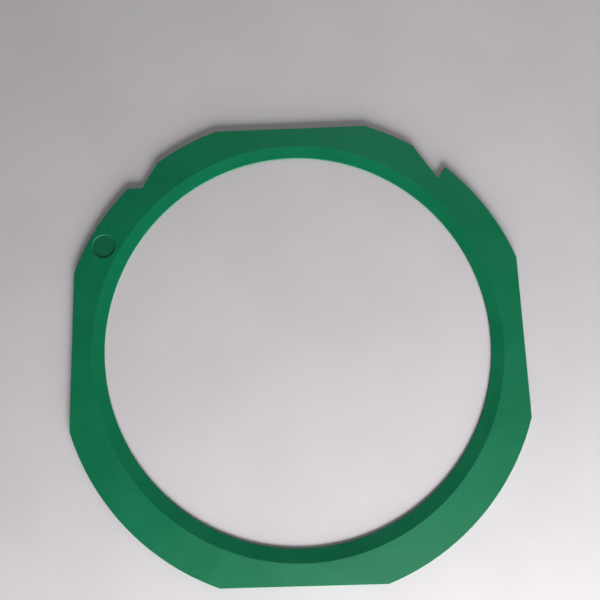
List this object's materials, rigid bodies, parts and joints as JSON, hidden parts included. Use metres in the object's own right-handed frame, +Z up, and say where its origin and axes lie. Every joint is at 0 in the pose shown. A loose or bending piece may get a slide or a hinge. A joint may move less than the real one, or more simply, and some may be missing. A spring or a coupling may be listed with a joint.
{
  "type": "wafer dicing frame",
  "caption": "Flat moulded plastic ring with a wide round opening bevelled on top, flattened sides, a step notch and a vee notch on its rim, and a shallow round recess.",
  "frame": {"origin": "centre of the round opening, on the flat underside that takes the tape", "axes": "+Z up through the opening, towards the bevelled side; +Y towards the flat that lies between the two notches; +X towards the vee notch's side"},
  "size_m": [0.2794, 0.2794, 0.0025],
  "materials": {
    "green_plastic": "satin moulded, coloured through"
  },
  "bodies": {
    "root": {"dicing_frame": "green_plastic"}
  },
  "joints": []
}
